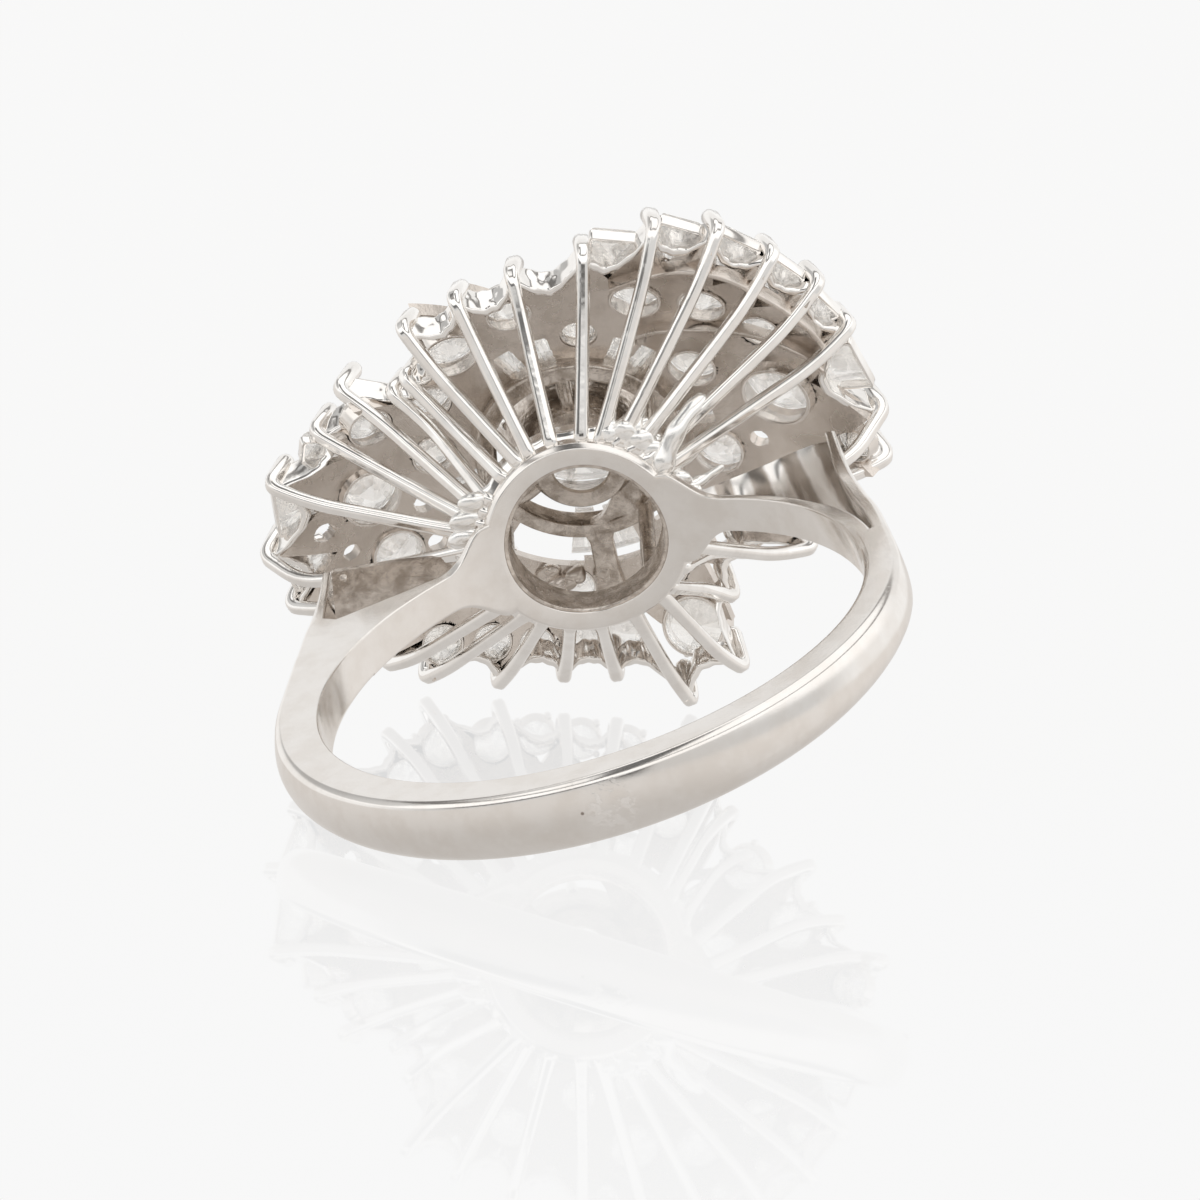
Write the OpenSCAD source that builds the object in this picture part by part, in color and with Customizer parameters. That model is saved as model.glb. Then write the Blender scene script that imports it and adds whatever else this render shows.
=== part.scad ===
// Diamond cocktail ring lying on its side: a band with split shoulders and a turned base ring,
// and an open wirework head that carries a domed spray of round and tapered stones.
// Two frames are used. Ring frame: x across the hand, y from the palm to the head, z along the
// finger. Dome frame: z away from the finger along the head's own axis, x across the hand.

/* [Finger hole and band] */
// Inside diameter of the finger hole
hole_d = 17; // [16:0.1:19]
// Thickness of the band, from the finger hole to its outer face
band_t = 1.5; // [1.3:0.1:1.8]
// Width of the band along the finger, at the palm
palm_w = 2.2; // [1.8:0.1:2.8]
// Width of the band along the finger, where it meets the base ring
bridge_w = 1.1; // [0.9:0.1:1.5]
// Thickness of the inner arm of the split shoulders
inner_arm_t = 0.65; // [0.5:0.05:0.9]
// Thickness of the web that closes the right shoulder
web_t = 0.35; // [0.3:0.05:0.5]

/* [Base ring] */
// Diameter of the hole in the base ring
base_hole_d = 4.8; // [4.2:0.1:5.2]
// Outside diameter of the base ring where the wires stand on it
base_d = 7.4; // [7.2:0.1:8.4]
// Height of the base ring's front face above the finger hole's centre
base_n = 9.75; // [9.5:0.05:10]

/* [Rest on the table] */
// Rise of the head above the level, as the ring lies
pitch = 12.95; // [10:0.05:16]
// Roll of the ring about its head axis, right side up
roll = 17.7; // [14:0.1:21]

/* [Head] */
// Height of the claw circle above the finger hole's centre
rim_n = 12.8; // [12.4:0.1:13.2]
// Lean of the head along the finger
lean_along = 9.6; // [6:0.1:12]
// Lean of the head across the hand
lean_across = 3.7; // [0:0.1:6]
// Height of the dome's crown above the claw circle
crown = 2.6; // [2:0.1:3]
// Radius at which the dome comes down to the claw circle
dome_reach = 9.5; // [9:0.1:10]
// Thickness of the stone plate
plate_t = 0.5; // [0.4:0.05:0.7]
// Diameter of the wires
wire_d = 0.46; // [0.36:0.02:0.5]
// Height of the claws above the wires' ends
claw_h = 1.4; // [1.2:0.1:1.8]

/* [Stones] */
// Diameter of the centre stone
centre_d = 4.9; // [4.4:0.1:5.2]
// Width of a rim baguette at its outer end
baguette_w = 1.7; // [1.4:0.1:1.8]
// Clearance between every stone and its seat
seat_gap = 0.04; // [0.03:0.01:0.08]

/* [Hidden] */
hole_r = hole_d/2;
band_r = hole_r + band_t;
base_hole_r = base_hole_d/2;
base_r = base_d/2;
wire_r = wire_d/2;
edge_t = 0.35;             // chamfer of the band's outer edges, across its thickness
edge_w = 0.45;             // and along its width
solder_gap = 0.03;         // between the base ring and the head that stands on it
dome_r = (pow(dome_reach, 2) + pow(crown, 2))/(2*crown);
dome_c = crown - dome_r;   // centre of the dome's sphere, on the head's axis
eps = 0.01;                // overlap of the pieces of one solid
stone_sides = 10;          // sides of a round stone's girdle
centre_sides = 16;
off_claw = 2.1;            // keeps the plate's corners and facets off the claws' own planes

// Claws in order round the head, seen from the front: [angle of the claw, its reach from the
// axis, height of its heel, angle of its root on the base ring, drop of the knee below the heel]
ANGLE = 0; REACH = 1; HEEL = 2; ROOT = 3; DROP = 4;
CLAWS = [
    [  2,  9.9,  0.0,   4, 2.4], [ 16,  9.8,  0.7,  10, 1.0], [ 24, 8.5,  0.1,  20, 0.9],
    [ 38,  8.0,  0.0,  34, 0.9], [ 48,  6.4,  0.3,  42, 0.6], [ 60, 6.8, -0.3,  58, 0.6],
    [ 68,  8.3, -1.6,  66, 0.5], [ 81,  8.1, -2.3,  82, 0.3], [ 98, 7.6, -0.7,  99, 0.6],
    [111,  7.7, -0.5, 114, 0.6], [125,  8.6, -0.1, 127, 0.8], [138, 9.7,  0.5, 136, 0.9],
    [148,  9.5, -0.3, 147, 0.9], [159, 10.0, -0.2, 158, 0.9], [170, 10.4, -0.4, 168, 0.9],
    [182, 10.4, -0.5, 180, 1.8], [197,  9.9, -0.4, 190, 0.8], [205, 8.6,  0.8, 199, 0.9],
    [214,  8.1,  1.5, 209, 0.9], [223,  6.8,  0.5, 219, 0.7], [233, 7.0, -0.3, 231, 0.6],
    [246,  8.7, -1.1, 242, 0.5], [258,  8.4, -0.6, 253, 0.6], [271, 8.2,  0.0, 268, 0.7],
    [287,  8.7,  0.0, 286, 0.7], [300,  9.9,  0.0, 299, 0.8], [311, 10.4, 0.0, 311, 0.8],
    [322, 10.4,  0.0, 322, 0.8], [332, 10.5,  0.0, 333, 0.8], [342, 10.3,-0.2, 343, 0.8]
];
claw_n = len(CLAWS);
root_reach = 3.5;          // distance of the wires' roots from the middle of the base ring
knee_in = 1.5;             // distance of a knee inwards from its claw

// Round stones: [x and y on the dome, diameter]
ROUNDS = [
    [ 6.8, -0.8, 2.5], [ 4.3, -2.0, 1.7], [ 4.2,  1.4, 1.8], [ 8.5,  1.5, 1.3],
    [ 6.2,  2.9, 1.7], [ 4.2,  4.3, 1.6], [ 1.4,  5.2, 1.4], [ 1.7,  7.1, 2.2],
    [-0.6,  6.9, 1.3], [-2.0,  6.7, 1.3], [-3.4,  6.4, 1.3], [-4.7,  5.8, 1.4],
    [-6.2,  5.2, 1.5], [-7.0,  3.8, 1.5], [-1.7,  5.1, 1.5], [-4.2,  3.3, 2.0],
    [-6.6,  1.7, 1.9], [-6.8, -0.8, 2.2], [-4.5, -1.2, 1.6], [-6.0, -3.3, 1.6],
    [-4.0, -3.2, 1.5], [-2.8, -5.1, 2.1], [-0.6, -5.9, 1.6], [ 1.2, -4.2, 1.3],
    [ 3.4, -5.4, 1.8], [ 5.4, -4.8, 1.7], [ 6.9, -3.4, 1.5]
];
RX = 0; RY = 1; RD = 2;

// Tapered stones round the centre: their angles, seen from the front
INNER_AT = [-108, -92, -55, -43, 0, 44, 60, 88, 104, 160, 176];
inner_r = 3.0;             // distance of their inner ends from the axis
inner_l = 1.5;
inner_w = 0.95;
// Baguettes stand in the gap after each of these claws
FANS = [14, 15, 16, 24, 25, 26, 27, 28, 29];
baguette_l = 1.4;

// Rail round the cup of the centre stone: its inner and outer radius, and its height
rail_in = 2.75;
rail_out = 3.3;
rail_z = 1.3;
rail_h = 1.2;

// Points of the shoulders in the ring frame, from the band up to the head
LEFT_SHOULDER = [[-8.0, 2.0], [-9.76, 2.2], [-9.1, 5.5], [-8.7, 7.5], [-8.45, 9.2], [-8.4, 10.5],
    [-8.0, 10.5], [-8.05, 8.8], [-8.15, 7.3], [-7.85, 7.0], [-5.6, 7.45], [-3.4, 8.25], [-3.4, 7.2]];
RIGHT_SHOULDER = [[8.0, 1.0], [9.76, 2.2], [9.25, 4.2], [8.8, 6.0], [8.5, 8.0], [8.4, 9.5],
    [7.95, 9.5], [8.05, 7.6], [8.4, 5.2], [8.7, 3.4], [8.75, 2.9], [8.55, 2.75]];
RIGHT_WEB = [[3.2, 7.4], [3.2, 8.5], [8.1, 9.3], [8.2, 7.6], [8.55, 5.2], [8.85, 3.0], [8.4, 2.0]];
web_z = -0.25;

// Turns about x and z, and the dome frame's place in the ring frame
function turn_x(a) = [[1, 0, 0], [0, cos(a), -sin(a)], [0, sin(a), cos(a)]];
function turn_z(a) = [[cos(a), -sin(a), 0], [sin(a), cos(a), 0], [0, 0, 1]];
HEAD_TURN = turn_x(lean_along)*turn_z(-lean_across)*turn_x(-90);
function to_dome(p) = (p - [0, rim_n, 0])*HEAD_TURN;

function polar(r, a, z) = [r*cos(a), r*sin(a), z];

// Heel of a claw, knee of its wire and root of the wire, in the dome frame
function heel(i) = polar(CLAWS[i][REACH] - wire_r, CLAWS[i][ANGLE], CLAWS[i][HEEL] + wire_r/2);
function knee(i) = polar(CLAWS[i][REACH] - knee_in, CLAWS[i][ANGLE], CLAWS[i][HEEL] - CLAWS[i][DROP]);
function root(i) = to_dome([root_reach*cos(CLAWS[i][ROOT]), base_n + solder_gap + wire_r + 0.05,
    -root_reach*sin(CLAWS[i][ROOT])]);
function after(i) = (i + 1)%claw_n;

module on_table() {
    rotate([pitch, 0, 0]) rotate([0, -roll, 0]) children();
}

module on_head() {
    on_table() translate([0, rim_n, 0]) rotate([lean_along, 0, 0]) rotate([0, 0, -lean_across])
        rotate([-90, 0, 0]) children();
}

// Prism along x whose width falls from the palm to the base ring
module width_taper() {
    fall = (palm_w - bridge_w)/2/(2*hole_r);
    palm_y = -band_r - 1;
    head_y = rim_n;
    palm_h = palm_w/2 + fall*(-hole_r - palm_y);
    head_h = palm_w/2 - fall*(head_y + hole_r);
    rotate([90, 0, 90]) linear_extrude(height = 4*band_r, center = true)
        polygon([[palm_y, -palm_h], [head_y, -head_h], [head_y, head_h], [palm_y, palm_h]]);
}

// Closed ring of the band's section, with its outer edges taken off
module band_section() {
    h = palm_w/2;
    rotate_extrude($fn = 144) polygon([[hole_r - 0.5, -h], [band_r - edge_t, -h], [band_r, edge_w - h],
        [band_r, h - 1.5*edge_w], [band_r - 2.2*edge_t, h], [hole_r - 0.5, h]]);
}

module band() {
    intersection() {
        band_section();
        translate([0, -band_r - 1 + 2.3, 0]) cube([3*band_r, 2*band_r + 2, 2*palm_w], center = true);
    }
    rotate_extrude($fn = 144) translate([hole_r - 0.5, -palm_w/2])
        square([inner_arm_t + 0.5, palm_w]);
}

module shoulder(points) {
    linear_extrude(height = 2*palm_w, center = true) polygon(points);
}

module shank() color("gainsboro") on_table() difference() {
    union() {
        intersection() {
            union() {
                band();
                shoulder(LEFT_SHOULDER);
                shoulder(RIGHT_SHOULDER);
            }
            width_taper();
        }
        translate([0, 0, web_z]) linear_extrude(height = web_t, center = true) polygon(RIGHT_WEB);
        // base ring, turned about the head's direction
        rotate([-90, 0, 0]) rotate_extrude($fn = 96) polygon([[base_hole_r, hole_r - 1.2],
            [3.2, hole_r - 1.2], [3.3, hole_r], [base_r, base_n - 0.6], [base_r, base_n],
            [base_hole_r, base_n]]);
    }
    cylinder(r = hole_r, h = 4*palm_w, center = true, $fn = 144);
    rotate([-90, 0, 0]) cylinder(r = base_hole_r, h = 2*base_n, $fn = 96);
}

// Eight-faced knot at the end of a bar
module knot(r) {
    polyhedron(points = [[r, 0, 0], [0, r, 0], [-r, 0, 0], [0, -r, 0], [0, 0, r], [0, 0, -r]],
        faces = [[1, 0, 4], [2, 1, 4], [3, 2, 4], [0, 3, 4], [0, 1, 5], [1, 2, 5], [2, 3, 5], [3, 0, 5]]);
}

// Bar between two points, its corners a little outside the round bar that it stands for
module bar(a, b, d) {
    hull() for (end = [a, b]) translate(end) knot(0.58*d);
}

// One wire from the base ring out to its knee and heel, then the claw up to the front
module claw_wire(i) {
    tip_in = 0.5;
    claw = polar(CLAWS[i][REACH] - wire_r - tip_in, CLAWS[i][ANGLE], CLAWS[i][HEEL] + claw_h);
    bar(root(i), knee(i), wire_d);
    bar(knee(i), heel(i), wire_d);
    bar(heel(i), claw, wire_d);
}

// Scalloped rail from one claw to the next, dipping inwards between them
module scallop(i) {
    strip_r = 0.18;
    strip_h = 0.85;
    rise = [0, 0, 0.1];
    a = heel(i)*0.96 + rise;
    b = heel(after(i))*0.96 + rise;
    mid = (a + b)/2;
    flat = [mid[0], mid[1], 0];
    dip = mid - 0.55*flat/norm(flat);
    for (end = [a, b]) hull() {
        translate(end) cylinder(r = strip_r, h = strip_h, $fn = 5);
        translate(dip) cylinder(r = strip_r, h = strip_h, $fn = 5);
    }
}

// Domed plate that carries the stones, with an outline that follows the claws
module stone_plate() {
    out = 0.75;
    dip = 1.9;
    intersection() {
        translate([0, 0, -2]) linear_extrude(height = 6) polygon([for (i = [0:claw_n - 1]) each
            let (a = CLAWS[i], b = CLAWS[after(i)], turn = b[ANGLE] < a[ANGLE] ? 360 : 0)
            [polar(a[REACH] - out, a[ANGLE] + off_claw/3, 0),
             polar((a[REACH] + b[REACH])/2 - dip, (a[ANGLE] + b[ANGLE] + turn)/2 + off_claw/3, 0)]]
            * [[1, 0], [0, 1], [0, 0]]);
        translate([0, 0, dome_c]) rotate([0, 0, off_claw]) difference() {
            sphere(dome_r, $fn = 40);
            sphere(dome_r - plate_t, $fn = 40);
        }
    }
}

// Cup under the centre stone, its rail and the posts down to the base ring
module centre_cup() {
    rotate_extrude($fn = 24) polygon([[1.0, 0.5], [1.65, 0.5], [centre_d/2 + 0.15, 3.0],
        [centre_d/2 + 0.15, 3.5], [centre_d/2 - 0.25, 3.5], [centre_d/2 - 0.25, 2.9], [1.3, 1.0]]);
}

module rail_and_posts() {
    rotate_extrude($fn = 24) translate([rail_in, rail_z]) square([rail_out - rail_in, rail_h]);
    for (a = [35, 155, 275]) bar(polar(1.8, a, 1.4), polar(rail_in + 0.2, a, rail_z + 0.3), 0.5);
    for (a = [24, 64, 160, 212, 328])
        bar(polar(rail_in + 0.2, a, rail_z + 0.3), to_dome([3.2*cos(a), base_n + 0.35, -3.2*sin(a)]), 0.45);
}

// Flat collar of solder that ties the wires' roots together, square on the base ring
module collar() {
    rotate([90, 0, 0]) rotate([0, 0, lean_across]) rotate([-lean_along, 0, 0]) translate([0, -rim_n, 0])
        translate([0, base_n + solder_gap, 0]) rotate([-90, 0, 0])
        rotate_extrude($fn = 32) translate([base_hole_r + 0.15, 0]) square([1.25, 0.5]);
}

// Round brilliant: pavilion, girdle and crown, with the girdle's lower edge at z = 0
module brilliant(d, grow = 0, sides = stone_sides) {
    r = d/2 + grow;
    translate([0, 0, -0.86*r]) cylinder(r1 = 0.02, r2 = r, h = 0.86*r, $fn = sides);
    translate([0, 0, -eps]) cylinder(r = r, h = 0.08*d + eps, $fn = sides);
    translate([0, 0, 0.08*d - eps]) cylinder(r1 = r, r2 = 0.56*r, h = 0.3*r + eps, $fn = sides);
}

// Step cut stone along x, from x = 0 outwards: widths at its two ends, length and depth
module step_cut(w0, w1, l, grow = 0) {
    g = grow;
    deep = 0.62;
    table = 0.3;
    hull() {
        linear_extrude(height = 0.12 + 2*g) polygon([[-g, -w0/2 - g], [l + g, -w1/2 - g],
            [l + g, w1/2 + g], [-g, w0/2 + g]]);
        translate([0.3, -0.06 - g, -deep - g]) cube([l - 0.6, 0.12 + 2*g, 0.1]);
        translate([0, 0, 0.12]) linear_extrude(height = table + g) polygon([[0.25, -w0/2 + 0.2],
            [l - 0.25, -w1/2 + 0.25], [l - 0.25, w1/2 - 0.25], [0.25, w0/2 - 0.2]]);
    }
}

// Puts a child at a place on the dome, its z axis square to the surface and x pointing outwards
module on_dome(r, a, lift = 0) {
    rotate([0, 0, a]) translate([0, 0, dome_c]) rotate([0, asin(r/dome_r), 0])
        translate([0, 0, dome_r + lift]) children();
}

module centre_stone_shape(grow = 0) translate([0, 0, 3.3]) brilliant(centre_d, grow, centre_sides);

module round_place(i) {
    s = ROUNDS[i];
    on_dome(norm([s[RX], s[RY]]), atan2(s[RY], s[RX]), 0.08) children();
}

module tapered_shape(i, grow = 0)
    on_dome(inner_r, INNER_AT[i], 0.3) rotate([0, 4, 0]) step_cut(0.6*inner_w, inner_w, inner_l, grow);

// Baguette in the gap between two claws, its inner end on the plate's edge and its outer end over
// the scalloped rail, inside the claws
module baguette_shape(i, grow = 0) {
    a = CLAWS[FANS[i]];
    b = CLAWS[after(FANS[i])];
    r = (a[REACH] + b[REACH])/2 - 0.55;
    turn = b[ANGLE] < a[ANGLE] ? 360 : 0;
    gap = r*sin((b[ANGLE] + turn - a[ANGLE])/2)*2 - 2*wire_r - 0.1;
    w = min(baguette_w, gap);
    rotate([0, 0, (a[ANGLE] + b[ANGLE] + turn)/2])
        translate([r - baguette_l, 0, (a[HEEL] + b[HEEL])/2 + 1.1])
        rotate([0, 14, 0]) step_cut(0.72*w, w, baguette_l, grow);
}

// Seat of a round stone: a bore that narrows below the girdle and lets light through the plate
module seat(d) {
    r = d/2 + seat_gap;
    deep = 0.86*r + 0.1;
    translate([0, 0, -deep]) cylinder(r1 = 0.6*r, r2 = r, h = deep, $fn = stone_sides);
    cylinder(r = r, h = 0.5*r, $fn = stone_sides);
}

module round_stone(i) round_place(i) brilliant(ROUNDS[i][RD]);

module all_seats(grow) {
    centre_stone_shape(grow);
    for (i = [0:len(ROUNDS) - 1]) round_place(i) seat(ROUNDS[i][RD]);
    for (i = [0:len(INNER_AT) - 1]) tapered_shape(i, grow);
    for (i = [0:len(FANS) - 1]) baguette_shape(i, grow);
}

module setting() color("gainsboro") on_head() difference() {
    union() {
        for (i = [0:claw_n - 1]) {
            claw_wire(i);
            scallop(i);
        }
        difference() {
            stone_plate();
            translate([0, 0, -5]) cylinder(r = rail_in, h = 12, $fn = 24);
        }
        centre_cup();
        rail_and_posts();
        collar();
    }
    all_seats(seat_gap);
}

shank();
setting();
color("lightcyan") on_head() centre_stone_shape();  // centre_stone
for (i = [0:len(ROUNDS) - 1])
    color("lightcyan") on_head() round_stone(i);
for (i = [0:len(INNER_AT) - 1])
    color("lightcyan") on_head() tapered_shape(i);
for (i = [0:len(FANS) - 1])
    color("lightcyan") on_head() baguette_shape(i);
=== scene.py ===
import bpy
import numpy as np
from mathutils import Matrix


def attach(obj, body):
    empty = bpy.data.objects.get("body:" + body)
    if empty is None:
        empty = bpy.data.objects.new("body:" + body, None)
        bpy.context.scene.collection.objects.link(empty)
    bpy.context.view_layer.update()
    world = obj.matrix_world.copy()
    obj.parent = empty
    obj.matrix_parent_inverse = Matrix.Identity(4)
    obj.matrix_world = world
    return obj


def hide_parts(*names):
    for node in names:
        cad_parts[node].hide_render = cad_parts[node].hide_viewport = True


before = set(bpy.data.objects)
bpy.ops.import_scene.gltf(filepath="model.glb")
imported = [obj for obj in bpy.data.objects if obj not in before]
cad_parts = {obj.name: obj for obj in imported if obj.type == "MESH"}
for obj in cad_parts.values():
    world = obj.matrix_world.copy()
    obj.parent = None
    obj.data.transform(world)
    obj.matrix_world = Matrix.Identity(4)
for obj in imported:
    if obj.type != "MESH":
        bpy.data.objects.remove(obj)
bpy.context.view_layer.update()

# A diamond cocktail ring that lies on its side and is seen from the palm: a polished white gold
# band whose shoulders split into arms, a turned base ring, and an open head of thirty wires that
# end in claws round a domed spray of stones. Lengths are in millimetres until joined() makes metres.
# Ring frame: x across the hand, y from the palm to the head, z along the finger.
# Head frame: z forward along the head's own axis, x across the hand, y down the finger.

METRES = 0.001

# How the ring lies on the table, and how its head leans on the band
PITCH = 12.95
ROLL = 17.7
LEAN_ALONG = 9.6
LEAN_ACROSS = 3.7
RIM_N = 12.8

# Finger hole, band and base ring
HOLE_R = 8.5
PALM_HALF = 1.1
BRIDGE_HALF = 0.55
BASE_HOLE_R = 2.4
BASE_TOP_R = 3.35
BASE_N = 9.75

# Dome of the head: its crown above the claw circle, and the sphere it is cut from
CROWN = 2.6
DOME_R = 18.656
DOME_C = CROWN - DOME_R

# Plate that follows the dome: its thickness, how far its outline lies inside the claws, and how far it
# dips in between them, further where a baguette stands
PLATE_T = 0.45
PLATE_IN = 0.55
PLATE_DIP = 1.75
FAN_DIP = 2.1

# Claws in order round the head, seen from the front: angle, reach from the axis, height of the
# heel, angle of the root on the base ring, drop of the knee below the heel
CLAWS = np.array([
    (2, 9.9, 0.0, -2.0, 2.4), (16, 9.8, 0.7, -3.8, 1.0), (24, 8.5, 0.1, 6.9, 0.9),
    (38, 8.0, 0.0, 22.5, 0.9), (48, 6.4, 0.3, 37.3, 0.6), (60, 6.8, -0.3, 52.1, 0.6),
    (68, 8.3, -1.6, 59.9, 0.5), (81, 8.1, -2.3, 78.8, 0.3), (98, 7.6, -0.7, 98.4, 0.6),
    (111, 7.7, -0.5, 115.8, 0.6), (125, 8.6, -0.1, 131.5, 0.8), (138, 9.7, 0.5, 142.6, 0.9),
    (148, 9.5, -0.3, 155.9, 0.9), (159, 10.0, -0.2, 168.6, 0.9), (170, 10.4, -0.4, 179.6, 0.9),
    (182, 10.4, -0.5, 192.8, 1.8), (197, 9.9, -0.4, 199.9, 0.8), (205, 8.6, 0.8, 205.5, 0.9),
    (214, 8.1, 1.5, 212.4, 0.9), (223, 6.8, 0.5, 220, 0.7), (233, 7.0, -0.3, 234.9, 0.6),
    (246, 8.7, -1.1, 246.5, 0.5), (258, 8.4, -0.6, 254.3, 0.6), (271, 8.2, 0.0, 267.9, 0.7),
    (287, 8.7, 0.0, 284.9, 0.7), (300, 9.9, 0.0, 295.7, 0.8), (311, 10.4, 0.0, 306, 0.8),
    (322, 10.4, 0.0, 314.9, 0.8), (332, 10.5, 0.0, 324.4, 0.8), (342, 10.3, -0.2, 332.6, 0.8)])
ANGLE, REACH, HEEL, ROOT, DROP = CLAWS.T
CLAW_COUNT = len(CLAWS)
NEXT_ANGLE = np.append(ANGLE[1:], ANGLE[0] + 360)
NEXT_REACH = np.roll(REACH, -1)
NEXT_HEEL = np.roll(HEEL, -1)

# Wires: half their thickness, how far inside the heel the knee lies, the claw's height over the heel
# and how far its tip reaches in, and the circle and height of their roots on the base ring
WIRE_R = 0.23
KNEE_IN = 1.5
CLAW_H = 1.4
TIP_IN = 0.5
ROOT_REACH = 3.2
ROOT_RISE = 0.55

# Round stones: place on the dome across and down, and diameter. Their girdles lie over the dome, and
# the holes of their seats have a share of their diameter as radius.
ROUNDS = [
    (6.8, -0.8, 2.5), (4.3, -2.0, 1.7), (4.2, 1.4, 1.8), (8.5, 1.5, 1.3), (6.2, 2.9, 1.7),
    (4.2, 4.3, 1.6), (1.4, 5.2, 1.4), (1.7, 7.1, 2.2), (-0.6, 6.9, 1.3), (-2.0, 6.7, 1.3),
    (-3.4, 6.4, 1.3), (-4.7, 5.8, 1.4), (-6.2, 5.2, 1.5), (-7.0, 3.8, 1.5), (-1.7, 5.1, 1.5),
    (-4.2, 3.3, 2.0), (-6.6, 1.7, 1.9), (-6.8, -0.8, 2.2), (-4.5, -1.2, 1.6), (-6.0, -3.3, 1.6),
    (-4.0, -3.2, 1.5), (-2.8, -5.1, 2.1), (-0.6, -5.9, 1.6), (1.2, -4.2, 1.3), (3.4, -5.4, 1.8),
    (5.4, -4.8, 1.7), (6.9, -3.4, 1.5)]
GIRDLE_LIFT = 0.08
SEAT_SHARE = 0.46
CENTRE_D = 4.9
CENTRE_Z = 3.3

# Tapered stones round the centre, by angle, and those of them that have a frame. Their narrow end,
# a share of the broad one, points inwards, and they tilt in and stand a little proud.
TAPERED_AT = [-108, -92, -55, -43, 0, 44, 60, 88, 104, 160, 176]
FRAMED = [-108, -92, -55, -43, 0, 44, 160, 176]
TAPERED_R = 3.0
TAPERED_L = 1.5
TAPERED_W = 0.95
TAPERED_NARROW = 0.6
TAPERED_TILT = 4
TAPERED_LIFT = 0.3

# Baguettes in the gap after each of these claws, made in the same way
FANS = [14, 15, 16, 24, 25, 26, 27, 28, 29]
BAGUETTE_L = 1.4
BAGUETTE_W = 1.7
BAGUETTE_NARROW = 0.72
BAGUETTE_TILT = 14
BAGUETTE_IN = 0.55
BAGUETTE_UP = 1.1

# Rail round the centre cup
RAIL_IN = 2.75
RAIL_OUT = 3.3
RAIL_Z = 1.3
RAIL_H = 0.8

# Posts from the cup to the rail and from the rail to the base ring, by angle, and their thickness
CUP_POSTS = [155, 275]
BASE_POSTS = [24, 64, 160, 212, 328]
POST_D = 0.5

# Openings in the back of the plate that show light between the stones: across, down, radius
LIGHT_GAPS = [(-8.45, -0.3, 0.32), (-7.9, 0.85, 0.26), (-5.3, 0.4, 0.34), (-5.35, 1.9, 0.3),
              (5.6, 1.1, 0.3), (2.9, -3.6, 0.35), (2.9, 3.2, 0.4), (-3.2, 4.9, 0.3)]

# Windows in the plate beside the rail: from and to angle, inner and outer reach. The plate's inner
# part has rows a step apart, and the reaches are whole steps from its inner edge.
WINDOWS = [(105, 139, 3.35, 4.6), (79, 92, 3.35, 4.6), (60, 70, 3.35, 3.85)]
WINDOW_STEP = 1/12
WINDOW_ROWS = 20

# Middle of the worn place on the band's palm and of the small pit beside it, where each begins and is
# full, and their colours: the pale flakes of wear, and the pit's dark dot, which is painted shade of the
# hollow.
WORN_PLACE = np.array([0.2, -10.0, 0.05])
WORN_PIT = np.array([-0.69, -9.99, 0.2])
WORN_REACH = (1.1, 0.45)
PIT_REACH = (0.07, 0.03)
FLAKE_PALE = (0.95, 0.93, 0.91)
PIT_SHADE = (0.34, 0.29, 0.26)

# Run of the flutes along the web, in radians for each millimetre across and up the hand. The web's colour
# darkens in bands along the same run: painted shade of the flutes.
FLUTES = np.array([5.6, 0.9, 0])


def turn(axis, degrees):
    """Matrix that turns points about one axis, with the angle's cosine and sine in the other rows."""
    a, b = {"x": (1, 2), "y": (2, 0), "z": (0, 1)}[axis]
    c, s = np.cos(np.radians(degrees)), np.sin(np.radians(degrees))
    m = np.eye(3)
    m[a, a] = m[b, b] = c
    m[a, b], m[b, a] = -s, s
    return m


TABLE = turn("x", PITCH) @ turn("y", -ROLL)
HEAD = turn("x", LEAN_ALONG) @ turn("z", -LEAN_ACROSS) @ turn("x", -90)


def from_ring(points):
    """Ring frame to the table's frame: the roll about the head direction, then the pitch."""
    return points @ TABLE.T


def from_head(points):
    """Head frame to the table's frame: the head's lean, its height on the band, then the lie."""
    return from_ring(points @ HEAD.T + [0, RIM_N, 0])


def to_head(points):
    """Ring frame to head frame: the head's lean undone."""
    return (np.asarray(points, float) - [0, RIM_N, 0]) @ HEAD


def polar(reach, degrees, height):
    """Points at a reach from the axis, at an angle round it, at a height."""
    a = np.radians(degrees)
    return np.stack(np.broadcast_arrays(reach*np.cos(a), reach*np.sin(a), height), -1).astype(float)


def round_head(reach, degrees, n):
    """Points of the ring frame at a reach from the head direction, at an angle round it, n along it."""
    a = np.radians(degrees)
    return np.stack(np.broadcast_arrays(reach*np.cos(a), n, -reach*np.sin(a)), -1)


def over_bore(across):
    """How far the finger hole's cylinder stands from its middle plane at a place across the hand: the
    root of 8.5^2 - x^2."""
    return np.sqrt(HOLE_R**2 - across**2)


def on_dome(points, reach, degrees, lift=0.0):
    """Puts points on the dome, z square to it: up by the sphere's radius, leaned by the angle whose
    sine is reach over radius, turned about the axis."""
    lean = np.degrees(np.arcsin(reach/DOME_R))
    leaned = (points + [0, 0, DOME_R + lift]) @ turn("y", lean).T
    return (leaned + [0, 0, DOME_C]) @ turn("z", degrees).T


def at_seat(points, x, y):
    """Puts points at the girdle of the round stone whose place on the dome is x, y."""
    return on_dome(points, np.hypot(x, y), np.degrees(np.arctan2(y, x)), GIRDLE_LIFT)


def dome_height(reach):
    """Height of the dome at a reach from the axis: its sphere's, the root of radius^2 - reach^2."""
    return DOME_C + np.sqrt(DOME_R**2 - reach**2)


def unit(vectors):
    """Vectors of length 1 in the same directions."""
    return vectors/np.linalg.norm(vectors, axis=-1, keepdims=True)


def smooth(x, low, high):
    """Eased step from 0 at low to 1 at high: 3t^2 - 2t^3."""
    t = np.clip((x - low)/(high - low), 0, 1)
    return t*t*(3 - 2*t)


def bell(x, width):
    """Bell curve: e to the power -(x/width)^2."""
    return np.exp(-(x/width)**2)


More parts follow.
